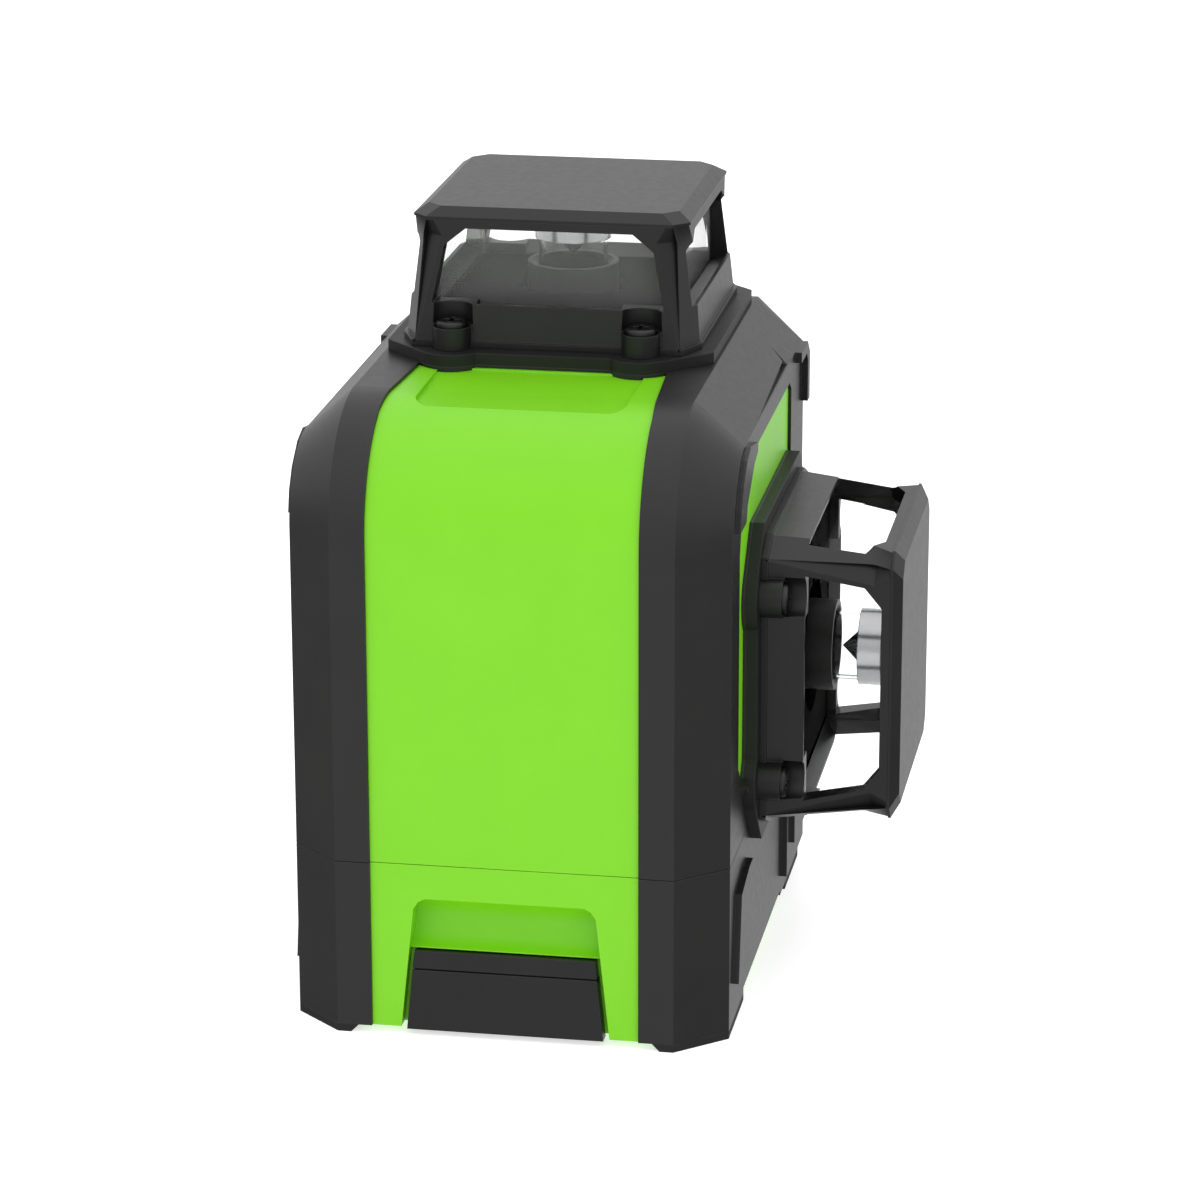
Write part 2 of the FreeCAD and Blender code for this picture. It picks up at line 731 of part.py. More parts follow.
def base_housing():
    core = body_form(skin, base_bottom)
    bare = strip_region().common(body_form(colour_inset, base_bottom))
    solid = without(joined([core, bare]), [body_form(shell, floor_top)])
    inner = [post.common(body_form(skin, -5)) for post in base_posts()]
    radius, top = bushing_block
    inner.append(rod(radius, (0, 0, 0), (0, 0, top)))
    solid = joined([solid] + inner)
    cuts = [bay_cut(), scoop_cut(), lock_slot(), port_opening(), seal_ring(seal_groove_size)]
    cuts += side_arches()
    cuts.append(rod(bushing_radius, (0, 0, -1), (0, 0, bushing_top)))
    for x, y in housing_screw_places:
        cuts.append(rod(screw_hole, (x, y, -1), (x, y, seam_height + 1)))
        cuts.append(rod(housing_screw_pocket, (x, y, -1), (x, y, housing_screw_seat)))
    bores = [rod(screw_shaft, (x, y, frame_post_bore), (x, y, seam_height + 5))
             for x, y in four_corners(*frame_screw_half)]
    body = below_seam(without(solid, cuts + bores))
    post_tops = [rod(frame_post, (x, y, seam_height - 2), (x, y, frame_plate[0])).cut(bores)
                 for x, y in four_corners(*frame_screw_half)]
    return joined([body] + post_tops)


def base_overmould():
    return without(overmould(below_seam, False), side_arches() + [lock_slot()])


def feet():
    plan = prism_xy(plan_points(0), 0, base_bottom)
    near_stop, far_start = foot_length
    wide, narrow = foot_bevel
    pads = []
    for x0, x1 in ((near_end, from_near(near_stop)), (from_near(far_start), far_end)):
        for side in (-1, 1):
            y0, y1 = sorted((side * foot_inner_y, side * body_half_width))
            pad = plan.common(box(x0, x1, y0, y1, 0, base_bottom))
            bevel = prism_yz([(0, -1), (side * wide, -1), (side * wide, 0),
                              (side * narrow, base_bottom), (0, base_bottom)], -far_out, far_out)
            pads.append(without(pad, [bevel]))
    return pads


def tripod_bushing():
    body = joined([rod(bushing_radius, (0, 0, bushing_step), (0, 0, bushing_top)),
                   rod(bushing_neck, (0, 0, 0), (0, 0, bushing_step + overlap))])
    return without(body, [rod(tripod_bore, (0, 0, -1), (0, 0, tripod_depth))])


# ================================================================ screws
def pan_head_screw(head_low, shaft_end):
    """Pan-head screw along +Z with a cross recess; the shaft runs down to shaft_end."""
    top = head_low + screw_head_high
    head = rod(screw_head, (0, 0, head_low), (0, 0, top))
    rims = [edge for edge in head.Edges if edge.BoundBox.ZMin > top - 0.01]
    head = head.makeFillet(head_round, rims)
    half, width, depth = cross_slot
    slots = [box(-half, half, -width, width, top - depth, top + 1),
             box(-width, width, -half, half, top - depth, top + 1)]
    shaft = rod(screw_shaft, (0, 0, shaft_end), (0, 0, head_low + overlap))
    return without(joined([head, shaft]), slots)


def housing_screws():
    screw = pan_head_screw(0, -housing_screw_length)
    screw.rotate(V(0, 0, 0), V(1, 0, 0), 180)
    return [moved(screw, x, y, housing_screw_seat) for x, y in housing_screw_places]


def frame_screws():
    screw = pan_head_screw(frame_plate[1], frame_screw_end)
    return [moved(screw, x, y) for x, y in four_corners(*frame_screw_half)]


def window_screws():
    screw = pan_head_screw(screw_seat, window_screw_end)
    return [moved(screw, u, v) for u, v in four_corners(boss_u, boss_v)]


# ================================================================ window heads
def window_gasket():
    opening = rod(gasket_opening, (0, 0, -1), (0, 0, gasket_thick + 1))
    return without(gasket_outline(0, gasket_thick), [opening] + boss_rods(screw_hole, -1, gasket_thick + 1))


def frame_half_at(height):
    """Half sizes of the tapering frame at one height."""
    share = (height - gasket_thick) / (frame_top - gasket_thick)
    return [base + (top - base) * share for base, top in zip(frame_base_half, frame_top_half)]


def frame_block():
    """Tapering block whose corner facets narrow from the posts to the rim."""
    grow, step = frame_flange
    base_half = frame_half_at(gasket_thick)
    flange = Part.Face(octagon([half + grow for half in base_half], post_corner, gasket_thick))
    flange = flange.extrude(V(0, 0, step))
    posts = Part.makeLoft([octagon(base_half, post_corner, gasket_thick),
                           octagon(frame_half_at(frame_flare), post_corner, frame_flare)], True, True)
    rim = Part.makeLoft([octagon(frame_half_at(frame_flare), post_corner, frame_flare),
                         octagon(frame_half_at(frame_top), rim_corner, frame_top)], True, True)
    return joined([flange, posts, rim])


def corner_groove(su, sv):
    """Saw-tooth groove down one post, beside its corner facet; it fades out towards the foot."""
    sections = []
    for height, on_face, on_facet, depth in corner_grooves:
        half_u, half_v = frame_half_at(height)
        edge_v = half_v - post_corner[1]
        outline = [(half_u + 1, edge_v - on_face), (half_u, edge_v - on_face),
                   (half_u - depth, edge_v + on_facet), (half_u + 1, edge_v + on_facet)]
        sections.append(closed([V(su * u, sv * v, height) for u, v in outline]))
    return Part.makeLoft(sections, True, True)


def frame_apertures():
    """Window openings through the two pairs of walls."""
    cuts = []
    for half, prism in ((aperture_u, prism_yz), (aperture_v, prism_xz)):
        cuts.append(prism(half + [(-a, n) for a, n in reversed(half)], -far_out, far_out))
    return cuts


def sill_slopes():
    """What is taken off behind each sill's lip, down to the foot of the glass."""
    half_u, half_v = [half - sill_lip for half in frame_half_at(sill)]
    between_bosses = boss_v - boss_pocket - 0.2
    cuts = []
    for half, width, prism in ((half_u, between_bosses, prism_xz), (half_v, aperture_v[0][0], prism_yz)):
        section = [(cavity_half, plate_high), (half, sill), (cavity_half, sill)]
        cuts.append(prism(section, -width, width))
        cuts.append(prism([(-a, z) for a, z in section], -width, width))
    return cuts


def window_frame():
    pockets = boss_rods(boss_pocket, boss_top, boss_pocket_top)
    bosses = boss_rods(boss_radius, gasket_thick, boss_top)
    solid = joined([frame_block().cut(pockets)] + bosses)
    cuts = [box(-throat_half, throat_half, -throat_half, throat_half, 0, far_out),
            box(-cavity_half, cavity_half, -cavity_half, cavity_half, plate_low, far_out)]
    cuts += frame_apertures() + sill_slopes()
    cuts += [corner_groove(su, sv) for su in (-1, 1) for sv in (-1, 1)]
    cuts += boss_rods(clearance_hole, 0, boss_pocket_top)
    cuts += boss_rods(screw_seat_radius, screw_seat, boss_pocket_top)
    return without(solid, cuts)


def window_base_plate(opening):
    half = cavity_half - plate_play
    plate = box(-half, half, -half, half, plate_low, plate_high)
    return without(plate, [rod(opening, (0, 0, 0), (0, 0, far_out))])


def window_glass():
    """Four panes; two span the corners and two fit between them."""
    half = cavity_half - glass_play
    inner = half - glass_thick
    low, high = plate_high, frame_top - glass_play
    panes = []
    for sign in (-1, 1):
        near_face, far_face = sorted((sign * inner, sign * half))
        panes.append(box(near_face, far_face, -half, half, low, high))
        panes.append(box(-inner + plate_play, inner - plate_play, near_face, far_face, low, high))
    return panes


def window_cap():
    rim = Part.Face(octagon(cap_rim_half, rim_corner, frame_top)).extrude(V(0, 0, cap_rim_top - frame_top))
    crown = Part.makeLoft([octagon(cap_rim_half, rim_corner, cap_rim_top),
                           octagon(cap_face_half, rim_corner, cap_top)], True, True)
    return joined([rim, crown])


# ================================================================ laser heads
def laser_barrel():
    body = rod(barrel_radius, (0, 0, barrel_back), (0, 0, barrel_front))
    lead = Part.makeCone(barrel_bore, barrel_bore + barrel_lead, barrel_lead,
                         V(0, 0, barrel_front - barrel_lead))
    cuts = [rod(barrel_bore, (0, 0, lens_back), (0, 0, barrel_front + 1)),
            rod(diode_bore, (0, 0, diode_depth), (0, 0, lens_back + 1)), lead]
    return without(body, cuts)


def laser_lens():
    return rod(barrel_bore - 0.02, (0, 0, lens_back), (0, 0, lens_back + lens_thick))


def laser_tube():
    return tube(tube_outer, tube_inner, (0, 0, lens_back + lens_thick), (0, 0, mirror_face + tube_depth))


def mirror_ring():
    body = rod(mirror_radius, (0, 0, mirror_face), (0, 0, mirror_back))
    groove = tube(tube_outer + tube_groove_play, tube_inner - tube_groove_play,
                  (0, 0, mirror_face), (0, 0, mirror_face + tube_depth))
    return without(body, [groove])


def mirror_cone():
    return Part.makeCone(cone_tip, cone_height, cone_height, V(0, 0, mirror_face - cone_height))


# ================================================================ gimbal and pendulum
def swing_ball():
    return Part.makeSphere(swing_radius, V(0, 0, pivot_z))


def pendulum_body():
    """Casting that carries both barrels under the pivot, with a weight and two trim holes."""
    shapes = [rod(radius, (0, 0, low), (0, 0, high)) for radius, low, high in (sleeve, column)]
    radius, start, end = front_sleeve
    shapes.append(rod(radius, (front_x, start, front_z), (front_x, end, front_z)))
    shapes.append(box(front_x, 0, link_front, 0, front_z - link_half, front_z + link_half))
    shapes.append(box(*weight))
    solid = joined(shapes).common(swing_ball())
    (y_hole_x, y_hole_z), y_start, y_end, _ = trim_y
    (x_hole_y, x_hole_z), x_start, x_end, _ = trim_x
    cuts = [rod(barrel_radius, (0, 0, body_top + barrel_back), (0, 0, far_out)),
            rod(barrel_radius, (front_x, -far_out, front_z),
                (front_x, -body_half_width - barrel_back, front_z)),
            rod(pendulum_pin, (0, -ring_outer, pivot_z), (0, ring_outer, pivot_z)),
            rod(trim_radius, (y_hole_x, y_start, y_hole_z), (y_hole_x, y_end, y_hole_z)),
            rod(trim_radius, (x_start, x_hole_y, x_hole_z), (x_end, x_hole_y, x_hole_z))]
    return without(solid, cuts)


def pendulum_pins():
    start, end = pendulum_pin_span
    return [rod(pendulum_pin, (0, side * start, pivot_z), (0, side * end, pivot_z)) for side in (-1, 1)]


def trim_screws():
    (y_hole_x, y_hole_z), y_start, _, y_end = trim_y
    (x_hole_y, x_hole_z), x_start, _, x_end = trim_x
    return [rod(trim_radius, (y_hole_x, y_start, y_hole_z), (y_hole_x, y_end, y_hole_z)),
            rod(trim_radius, (x_start, x_hole_y, x_hole_z), (x_end, x_hole_y, x_hole_z))]


def damping_plate():
    radius, low, high = damping
    return rod(radius, (0, 0, low), (0, 0, high)).common(swing_ball())


def damping_magnet():
    outer, inner, low, high = magnet
    return tube(outer, inner, (0, 0, low), (0, 0, high))


def gimbal_ring():
    ring = tube(ring_outer, ring_inner, (0, 0, pivot_z - ring_half_height),
                (0, 0, pivot_z + ring_half_height))
    bearing_radius, _, seat, bearing_face = ring_bearing
    cuts = [rod(ring_pin, (-far_out, 0, pivot_z), (far_out, 0, pivot_z)),
            rod(pin_clearance_bore, (0, -far_out, pivot_z), (0, far_out, pivot_z)),
            rod(bearing_radius, (0, -bearing_face, pivot_z), (0, bearing_face, pivot_z))]
    return without(ring, cuts)


def ring_bearings():
    outer, bore, inner_face, outer_face = ring_bearing
    return [tube(outer, bore, (0, side * inner_face, pivot_z), (0, side * outer_face, pivot_z))
            for side in (-1, 1)]


def ring_pins():
    start, end = ring_pin_span
    return [rod(ring_pin, (side * start, 0, pivot_z), (side * end, 0, pivot_z)) for side in (-1, 1)]


def frame_bearings():
    outer, bore, inner_face, outer_face = frame_bearing
    return [tube(outer, bore, (side * inner_face, 0, pivot_z), (side * outer_face, 0, pivot_z))
            for side in (-1, 1)]


def inner_frame():
    """Floor plate with two braced uprights that carry the gimbal bearings."""
    low, high = frame_plate
    (half_x, half_y), (ear_x, ear_y) = frame_plate_half, frame_ear_half
    shapes = [box(-half_x, half_x, -half_y, half_y, low, high),
              box(-ear_x, ear_x, -ear_y, ear_y, low, high)]
    for side in (-1, 1):
        x0, x1 = sorted((side * upright[0], side * upright[1]))
        shapes.append(box(x0, x1, -upright_half, upright_half, low, upright_top))
        shapes.append(prism_xz([(side * x, z) for x, z in brace], -brace_half, brace_half))
    slot_x, slot_half_x, slot_half_y = frame_slot
    cuts = [rod(frame_bearing[0], (-far_out, 0, pivot_z), (far_out, 0, pivot_z)),
            rod(guide_body[0], (0, 0, low - 1), (0, 0, high + 1))]
    cuts += [rod(clearance_hole, (x, y, low - 1), (x, y, high + 1))
             for x, y in four_corners(*frame_screw_half)]
    cuts += [rod(post_clearance, (x, y, low - 1), (x, y, high + 1)) for x, y in housing_screw_places]
    cuts += [box(x - slot_half_x, x + slot_half_x, -slot_half_y, slot_half_y, low - 1, high + 1)
             for x in (-slot_x, slot_x)]
    return without(joined(shapes), cuts)


# ================================================================ pendulum lock
def lock_slider():
    half, low, high, near_face, far_face = lock_knob
    outer_y = body_half_width + far_face
    knob = box(lock_x - half, lock_x + half, body_half_width + near_face, outer_y, low, high)
    knob = knob.makeFillet(knob_round, [edge for edge in knob.Edges if edge.BoundBox.YMin > outer_y - 0.01])
    grip_half, grip_depth = grip
    grips = [box(lock_x + x - grip_half, lock_x + x + grip_half,
                 outer_y - grip_depth, far_out, 0, far_out) for x in grip_places]
    arm_half, arm_low, arm_high = lock_arm
    arm = box(lock_x - arm_half, lock_x + arm_half, 20, body_half_width + near_face + overlap,
              arm_low, arm_high)
    return joined([without(knob, grips), arm])


def lock_cam():
    """Arm with a ramp: as it slides by lock_travel the plunger rises by plunger_lift."""
    half, low, high = lock_arm
    bar = box(lock_x - half, lock_x + half, -cam_half, 20, low, high)

    def ramp(x):
        return plunger_low - plunger_gap - plunger_lift / lock_travel * (x - cam_contact_x)
    outline = [(lock_x - half, low), (cam_end, low), (cam_end, ramp(cam_end)),
               (lock_x, ramp(lock_x)), (lock_x - half, ramp(lock_x))]
    wedge = prism_xz(outline, -cam_half, cam_half)
    return joined([bar, wedge])


def lock_plunger():
    return rod(plunger_radius, (0, 0, plunger_low), (0, 0, plunger_top))


def lock_guide():
    return joined([tube(radius, guide_bore, (0, 0, low), (0, 0, high))
                   for radius, low, high in (guide_body, guide_flange)])


# ================================================================ controls and electronics
def keypad_panel():
    half_x, half_z = keypad_half[0] - panel_play, keypad_half[1] - panel_play
    low = body_half_width - colour_inset - keypad_sink
    high = low + panel_thick
    panel = box(front_x - half_x, front_x + half_x, low, high, keypad_z - half_z, keypad_z + half_z)
    panel = panel.makeFillet(panel_round, [edge for edge in panel.Edges if edge.BoundBox.YMin > high - 0.01])
    cuts = [rod(button_radius + button_play, (x, 0, button_z), (x, far_out, button_z)) for x in button_x]
    cuts += [rod(led_hole, (x, 0, led_z), (x, far_out, led_z)) for x in led_x]
    return without(panel, cuts)


def keypad_button(x):
    flange_radius, flange_low, flange_high = button_flange
    stem_radius, stem_low = button_stem
    face = body_half_width + button_face
    cap = rod(button_radius, (x, flange_low + overlap, button_z), (x, face, button_z))
    cap = cap.makeFillet(panel_round, [edge for edge in cap.Edges if edge.BoundBox.YMin > face - 0.01])
    flange = rod(flange_radius, (x, flange_low, button_z), (x, flange_high, button_z))
    stem = rod(stem_radius, (x, stem_low, button_z), (x, flange_low + overlap, button_z))
    return joined([cap, flange, stem])


def led_lenses():
    start, end = led_span
    return [rod(led_radius, (x, start, led_z), (x, end, led_z)) for x in led_x]


def keypad_board():
    half_x, half_z, back, face = keypad_board_size
    shapes = [box(front_x - half_x, front_x + half_x, back, face, keypad_z - half_z, keypad_z + half_z)]
    for places, z, (half, high) in ((button_x, button_z, switch_size), (led_x, led_z, led_size)):
        shapes += [box(x - half, x + half, face, face + high, z - half, z + half) for x in places]
    return joined(shapes)


def main_board():
    face = from_near(board_near + board_thick)
    shapes = [box(from_near(board_near), face, -board_half, board_half, *board_span)]
    shapes += [box(face, face + high, *area) for high, *area in chips]
    return joined(shapes)


def charging_socket():
    half_y, half_z = socket_half
    back, front = socket_span
    mouth_y, mouth_z, mouth_back = socket_mouth
    tongue_y, tongue_z, tongue_back, tongue_front = socket_tongue
    metal = box(far_end - back, far_end - front, -half_y, half_y, port_z - half_z, port_z + half_z)
    mouth = box(far_end - mouth_back, far_end, -mouth_y, mouth_y, port_z - mouth_z, port_z + mouth_z)
    tongue = box(far_end - tongue_back, far_end - tongue_front, -tongue_y, tongue_y,
                 port_z - tongue_z, port_z + tongue_z)
    return joined([without(metal, [mouth]), tongue])


def charging_board():
    back, front, half, thick = port_board
    top = port_z - socket_half[1]
    return box(far_end - back, far_end - front, -half, half, top - thick, top)


def port_flap():
    """Rubber cover over the socket, with a round hinge edge at its top and a pull at the foot."""
    outer = far_end - colour_inset
    low, axis_z = flap_span
    axis_x = outer - flap_thick / 2
    cover = box(outer - flap_thick, outer, -flap_half, flap_half, low, axis_z)
    edge = rod(flap_thick / 2, (axis_x, -flap_half, axis_z), (axis_x, flap_half, axis_z))
    half, pull_low, pull_high, proud = flap_pull
    pull = box(outer - overlap, outer + proud, -half, half, pull_low, pull_high)
    return joined([cover, edge, pull])


# ================================================================ write every node
save("upper_housing", upper_housing())
save("upper_overmould", upper_overmould())
save("base_housing", base_housing())
save("base_overmould", base_overmould())
save("body_seal", seal_ring(seal_cord_size))
save("feet", feet())
save("tripod_bushing", tripod_bushing())
save("housing_screws", housing_screws())

save("inner_frame", inner_frame())
save("frame_screws", frame_screws())
save("frame_bearings", frame_bearings())
save("gimbal_ring", gimbal_ring())
save("ring_pins", ring_pins())
save("ring_bearings", ring_bearings())
save("pendulum_body", pendulum_body())
save("pendulum_pins", pendulum_pins())
save("trim_screws", trim_screws())
save("damping_plate", damping_plate())
save("damping_magnet", damping_magnet())

save("lock_slider", lock_slider())
save("lock_cam", lock_cam())
save("lock_plunger", lock_plunger())
save("lock_guide", lock_guide())

save("keypad_panel", keypad_panel())
button_names = ("power_button", "level_line_button", "plumb_line_button")
for button_name, button_place in zip(button_names, button_x):
    save(button_name, keypad_button(button_place))
save("led_lenses", led_lenses())
save("keypad_board", keypad_board())
save("main_board", main_board())
save("charging_socket", charging_socket())
save("charging_board", charging_board())
save("port_flap", port_flap())

save("battery_pack", battery_pack())
save("battery_pack_front", battery_pack_front())
save("battery_latch", battery_latch())
save("battery_contacts", battery_contacts())

for window, opening in (("top", top_opening), ("front", front_opening)):
    save(window + "_window_gasket", place(window_gasket(), window))
    save(window + "_window_plate", place(window_base_plate(opening), window))
    save(window + "_window_frame", place(window_frame(), window))
    save(window + "_window_glass", [place(pane, window) for pane in window_glass()])
    save(window + "_window_cap", place(window_cap(), window))
    save(window + "_window_screws", [place(screw, window) for screw in window_screws()])
    save(window + "_laser_barrel", place(laser_barrel(), window))
    save(window + "_laser_lens", place(laser_lens(), window))
    save(window + "_laser_tube", place(laser_tube(), window))
    save(window + "_mirror_ring", place(mirror_ring(), window))
    save(window + "_mirror_cone", place(mirror_cone(), window))
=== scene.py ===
import json
import math

import bpy
from mathutils import Matrix, Vector

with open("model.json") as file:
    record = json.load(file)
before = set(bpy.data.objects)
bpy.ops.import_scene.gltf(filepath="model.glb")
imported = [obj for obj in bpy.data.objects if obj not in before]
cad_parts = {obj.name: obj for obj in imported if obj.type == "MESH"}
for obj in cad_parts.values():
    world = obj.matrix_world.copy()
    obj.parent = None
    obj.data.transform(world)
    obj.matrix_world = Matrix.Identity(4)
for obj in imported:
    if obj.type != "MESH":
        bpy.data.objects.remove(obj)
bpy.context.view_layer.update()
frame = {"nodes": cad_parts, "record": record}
nodes = frame["nodes"]

# ---------------------------------------------------------------- driving values, metres and degrees
CAMERA_PLACE = Vector((-0.7989, -0.1437, 0.31456))
CAMERA_YAW = 9.865            # from +X towards +Y
CAMERA_PITCH = 17.459         # below the horizon
CAMERA_ROLL = -0.092
CAMERA_LENS = 136.8           # mm
SENSOR_WIDTH = 36.0           # mm
CAMERA_NEAREST = 0.01

KEY_PLACE = (-1.3, -0.25, 0.9)
KEY_AIM = (0, 0, 0.06)
KEY_SIZE = 0.8
KEY_POWER = 0.5               # W

HORIZON_LIGHT = 1.0
ZENITH_LIGHT = 1.6
GROUND_LIGHT = (0.25, 0.95)   # what glossy faces see below the horizon: to the sides, along the body
SKY_FADE = (0.35, 1.0)        # how steeply a direction points up where the sky starts and ends its fade
SIDE_FADE = (0.3, 0.85)       # how far a direction points along the body where the ground fades
HORIZON_FADE = (-0.05, 0.05)  # where ground goes over into sky

FLOOR_REACH = 12.0
FLOOR_GLOW = 0.62             # lifts the pale floor to an even white

EDGE_ROUND = 0.00022          # radius that every sharp CAD edge seems to have
EDGE_WEAR = 0.0005            # how far from an edge the skin is rubbed
EDGE_SAMPLES = 6
WEAR_TURN = (0.01, 1 / 3)     # turn of the rounded normal where wear starts and where it is full

BLOTCH = 0.012                # sizes of the patches in a moulded skin
SCUFF = 0.004
SHEEN = 0.0015
TOOL_MARK = 0.0004            # and in a metal one
TARNISH = 0.006
WAVE = 0.012                  # and in a clear one
HAZE = 0.01
TINT = 0.02


# ---------------------------------------------------------------- node helpers
class Wiring:
    """Short ways to add nodes to one node tree."""

    def __init__(self, tree):
        self.tree = tree

    def plug(self, socket, value):
        """Link an output to the socket, or set the socket to a constant."""
        if isinstance(value, bpy.types.NodeSocket):
            self.tree.links.new(value, socket)
        else:
            socket.default_value = value

    def node(self, kind, **inputs):
        made = self.tree.nodes.new(kind)
        for key, value in inputs.items():
            self.plug(made.inputs[key.replace("_", " ")], value)
        return made

    def span(self, value, low, high, start=0.3, end=0.7):
        """A level that runs from `low` to `high` while `value` runs from `start` to `end`."""
        limits = {"From_Min": start, "From_Max": end, "To_Min": low, "To_Max": high}
        return self.node("ShaderNodeMapRange", Value=value, **limits).outputs["Result"]

    def math(self, operation, *values):
        made = self.tree.nodes.new("ShaderNodeMath")
        made.operation = operation
        for socket, value in zip(made.inputs, values):
            self.plug(socket, value)
        return made.outputs["Value"]


finishes = {}                 # every material made below, by the name it was asked for


class Surface(Wiring):
    """A Principled material and short ways to give it procedural detail."""

    def __init__(self, name):
        self.material = bpy.data.materials.new(name)
        finishes[name] = self.material
        self.material.use_nodes = True
        super().__init__(self.material.node_tree)
        self.shader = self.tree.nodes["Principled BSDF"]
        self.coordinates = self.node("ShaderNodeTexCoord").outputs["Object"]

    def set(self, **inputs):
        for key, value in inputs.items():
            self.plug(self.shader.inputs[key.replace("_", " ")], value)

    def noise(self, size, detail=2.0):
        """Noise between 0 and 1 whose features are about `size` metres across."""
        made = self.node("ShaderNodeTexNoise", Vector=self.coordinates, Scale=1 / size, Detail=detail)
        return made.outputs["Fac"]

    def mix(self, share, first, second):
        made = self.tree.nodes.new("ShaderNodeMix")
        made.data_type = "RGBA"
        # the node has a set of sockets for each data type: 6, 7 and output 2 are the colour ones
        for place, value in ((0, share), (6, first), (7, second)):
            self.plug(made.inputs[place], value)
        return made.outputs[2]

    def rounded(self, radius):
        """The face's normal, turned smoothly within `radius` of a sharp edge."""
        bevel = self.node("ShaderNodeBevel", Radius=radius)
        bevel.samples = EDGE_SAMPLES
        return bevel.outputs["Normal"]

    def edges(self):
        """Near 1 on sharp edges, 0 on open faces."""
        face = self.node("ShaderNodeNewGeometry").outputs["Normal"]
        dot = self.tree.nodes.new("ShaderNodeVectorMath")
        dot.operation = "DOT_PRODUCT"
        self.plug(dot.inputs[0], self.rounded(EDGE_WEAR))
        self.plug(dot.inputs[1], face)
        turned = self.math("SUBTRACT", 1.0, dot.outputs["Value"])
        return self.span(turned, 0.0, 1.0, *WEAR_TURN)

    def relief(self, height, depth, round_edges=True):
        bump = self.node("ShaderNodeBump", Height=height, Distance=depth, Strength=1.0)
        if round_edges:
            self.plug(bump.inputs["Normal"], self.rounded(EDGE_ROUND))
        self.plug(self.shader.inputs["Normal"], bump.outputs["Normal"])


def rgb(red, green, blue):
    return (red, green, blue, 1.0)


def grey(level):
    return rgb(level, level, level)


# ---------------------------------------------------------------- kinds of surface
def moulded(name, colour, shade, worn, roughness, grain=0.00035, depth=0.00001, specular=0.5):
    """Moulded plastic or rubber: fine grain, soft blotches, edges rubbed a little lighter."""
    skin = Surface(name)
    tone = skin.mix(skin.span(skin.noise(BLOTCH, 3.0), 0.0, 1.0), colour, shade)
    scuff = skin.math("MULTIPLY", skin.edges(), skin.span(skin.noise(SCUFF, 4.0), 0.15, 0.8))
    skin.set(Base_Color=skin.mix(scuff, tone, worn), Specular_IOR_Level=specular)
    skin.set(Roughness=skin.span(skin.noise(SHEEN, 3.0), roughness - 0.02, roughness + 0.02))
    skin.relief(skin.noise(grain, 3.0), depth)


def metal(name, colour, dull, roughness, depth=0.000004, spread=0.06):
    """Turned, cast or ground metal: tool marks and slight tarnish."""
    skin = Surface(name)
    marks = skin.noise(TOOL_MARK)
    tarnish = skin.span(skin.noise(TARNISH, 3.0), 0.0, 1.0)
    skin.set(Base_Color=skin.mix(tarnish, colour, dull), Metallic=1.0)
    skin.set(Roughness=skin.span(marks, roughness - spread, roughness + spread))
    skin.relief(marks, depth)


def clear(name, tint, roughness, index, clearness=1.0):
    """Clear pane, tube or lens: faint moulding waves, hardly any haze."""
    skin = Surface(name)
    skin.set(Base_Color=skin.mix(skin.span(skin.noise(TINT), 0.0, 1.0), tint, grey(1.0)))
    skin.set(Roughness=skin.span(skin.noise(HAZE), roughness, roughness + 0.01))
    skin.set(Transmission_Weight=clearness, IOR=index)
    skin.relief(skin.noise(WAVE, 1.0), 0.000002, round_edges=False)


# ---------------------------------------------------------------- one finish for each material slot
# name, colour, shade, worn edge, roughness
moulded("green_housing", rgb(0.18, 0.585, 0.004), rgb(0.175, 0.57, 0.003), rgb(0.28, 0.74, 0.03), 0.42,
        specular=0.4)
moulded("black_overmould", grey(0.012), rgb(0.014, 0.014, 0.0135), grey(0.03), 0.40, depth=0.000006,
        specular=0.35)
moulded("foot_rubber", grey(0.012), grey(0.015), grey(0.03), 0.7, specular=0.25)
moulded("seal_rubber", grey(0.010), grey(0.012), grey(0.03), 0.5, specular=0.25)
moulded("black_plastic", grey(0.006), grey(0.008), grey(0.025), 0.38, depth=0.000002, specular=0.35)
moulded("black_barrel", grey(0.005), grey(0.007), grey(0.03), 0.42, 0.0002, 0.000003, specular=0.3)
moulded("inner_plastic", grey(0.06), grey(0.075), grey(0.12), 0.5)
moulded("button_rubber", grey(0.06), grey(0.07), grey(0.12), 0.55)
moulded("board", rgb(0.012, 0.11, 0.04), rgb(0.016, 0.14, 0.05), rgb(0.3, 0.32, 0.2), 0.3)
moulded("matt_plate", grey(0.004), grey(0.006), grey(0.015), 0.9, depth=0.000001, specular=0.02)

# name, tint, roughness, index of refraction
clear("lens_plastic", rgb(0.75, 0.9, 0.75), 0.08, 1.49)
clear("window_glass", rgb(0.985, 0.995, 0.99), 0.0, 1.03)
clear("hazed_glass", grey(0.93), 0.0, 1.06, clearness=0.945)
clear("tube_glass", rgb(0.99, 0.995, 0.995), 0.0, 1.2)

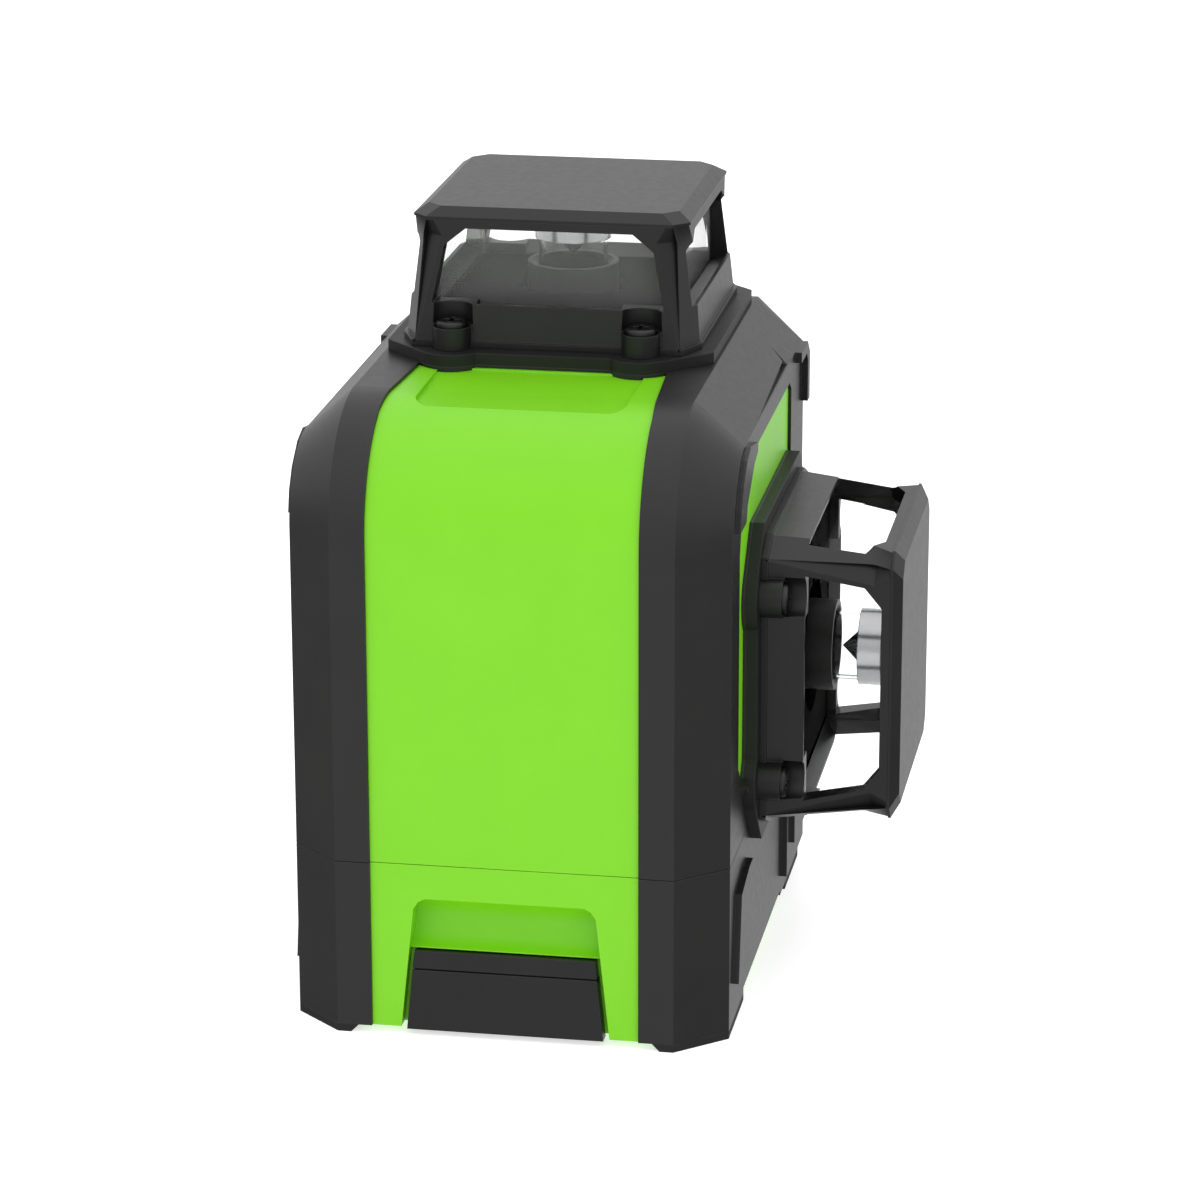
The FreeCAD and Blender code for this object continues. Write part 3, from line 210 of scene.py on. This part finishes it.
# name, colour, tarnish, roughness
metal("mirror_silver", rgb(0.86, 0.86, 0.87), rgb(0.8, 0.8, 0.81), 0.1, depth=0.0000002, spread=0.01)
metal("turned_aluminium", rgb(0.38, 0.38, 0.39), rgb(0.36, 0.36, 0.37), 0.24, depth=0.0000002, spread=0.01)
metal("black_screws", rgb(0.035, 0.035, 0.036), grey(0.05), 0.35)
metal("steel", rgb(0.6, 0.6, 0.61), grey(0.5), 0.25)
metal("brass", rgb(0.72, 0.52, 0.22), rgb(0.6, 0.42, 0.17), 0.3)
metal("zinc_casting", rgb(0.42, 0.43, 0.44), rgb(0.34, 0.34, 0.35), 0.5)
metal("gimbal_aluminium", rgb(0.62, 0.62, 0.63), rgb(0.55, 0.55, 0.56), 0.35)
metal("copper", rgb(0.75, 0.36, 0.22), rgb(0.6, 0.28, 0.17), 0.3)
metal("magnet", grey(0.6), grey(0.52), 0.2)

# nodes that look different from the rest of their slot
own_finish = {
    "top_window_plate": "matt_plate",
    "front_window_plate": "matt_plate",
    "top_window_glass": "hazed_glass",
}
for part in frame["record"]["subparts"]:
    target = nodes[part["node"]]
    target.data.materials.clear()
    target.data.materials.append(finishes[own_finish.get(part["node"], part["material_slot"])])


# ---------------------------------------------------------------- floor
def paper_white():
    skin = Surface("floor")
    skin.set(Base_Color=skin.mix(skin.noise(0.002), grey(0.72), grey(0.7)), Roughness=0.9)
    skin.set(Specular_IOR_Level=0.0, Emission_Color=grey(1.0), Emission_Strength=FLOOR_GLOW)
    return skin.material


corners = [(-FLOOR_REACH, -FLOOR_REACH, 0), (FLOOR_REACH, -FLOOR_REACH, 0),
           (FLOOR_REACH, FLOOR_REACH, 0), (-FLOOR_REACH, FLOOR_REACH, 0)]
floor_mesh = bpy.data.meshes.new("floor")
floor_mesh.from_pydata(corners, [], [(0, 1, 2, 3)])
floor = bpy.data.objects.new("floor", floor_mesh)
floor.data.materials.append(paper_white())
bpy.context.scene.collection.objects.link(floor)
floor.visible_glossy = False

# ---------------------------------------------------------------- studio light, all round and a softbox
world = bpy.data.worlds.new("studio")
world.use_nodes = True
bpy.context.scene.world = world
studio = Wiring(world.node_tree)
direction = studio.node("ShaderNodeTexCoord").outputs["Generated"]
pointing = studio.node("ShaderNodeSeparateXYZ", Vector=direction).outputs
ground = studio.span(studio.math("ABSOLUTE", pointing["X"]), *GROUND_LIGHT, *SIDE_FADE)
sky = studio.span(pointing["Z"], HORIZON_LIGHT, ZENITH_LIGHT, *SKY_FADE)
background = world.node_tree.nodes["Background"]
background.inputs["Color"].default_value = grey(1.0)
studio.plug(background.inputs["Strength"], studio.span(pointing["Z"], ground, sky, *HORIZON_FADE))

softbox = bpy.data.lights.new("key", "AREA")
softbox.shape = "SQUARE"
softbox.size = KEY_SIZE
softbox.energy = KEY_POWER
lamp = bpy.data.objects.new("key", softbox)
lamp.location = KEY_PLACE
lamp.rotation_euler = (Vector(KEY_AIM) - Vector(KEY_PLACE)).to_track_quat("-Z", "Y").to_euler()
bpy.context.scene.collection.objects.link(lamp)

# ---------------------------------------------------------------- camera
lens = bpy.data.cameras.new("camera")
lens.sensor_width = SENSOR_WIDTH
lens.lens = CAMERA_LENS
lens.clip_start = CAMERA_NEAREST
camera = bpy.data.objects.new("camera", lens)
camera.matrix_world = (Matrix.Translation(CAMERA_PLACE)
                       @ Matrix.Rotation(math.radians(CAMERA_YAW - 90), 4, "Z")
                       @ Matrix.Rotation(math.radians(90 - CAMERA_PITCH), 4, "X")
                       @ Matrix.Rotation(math.radians(CAMERA_ROLL), 4, "Z"))
bpy.context.scene.collection.objects.link(camera)
bpy.context.scene.camera = camera
bpy.context.scene.view_settings.view_transform = "Standard"
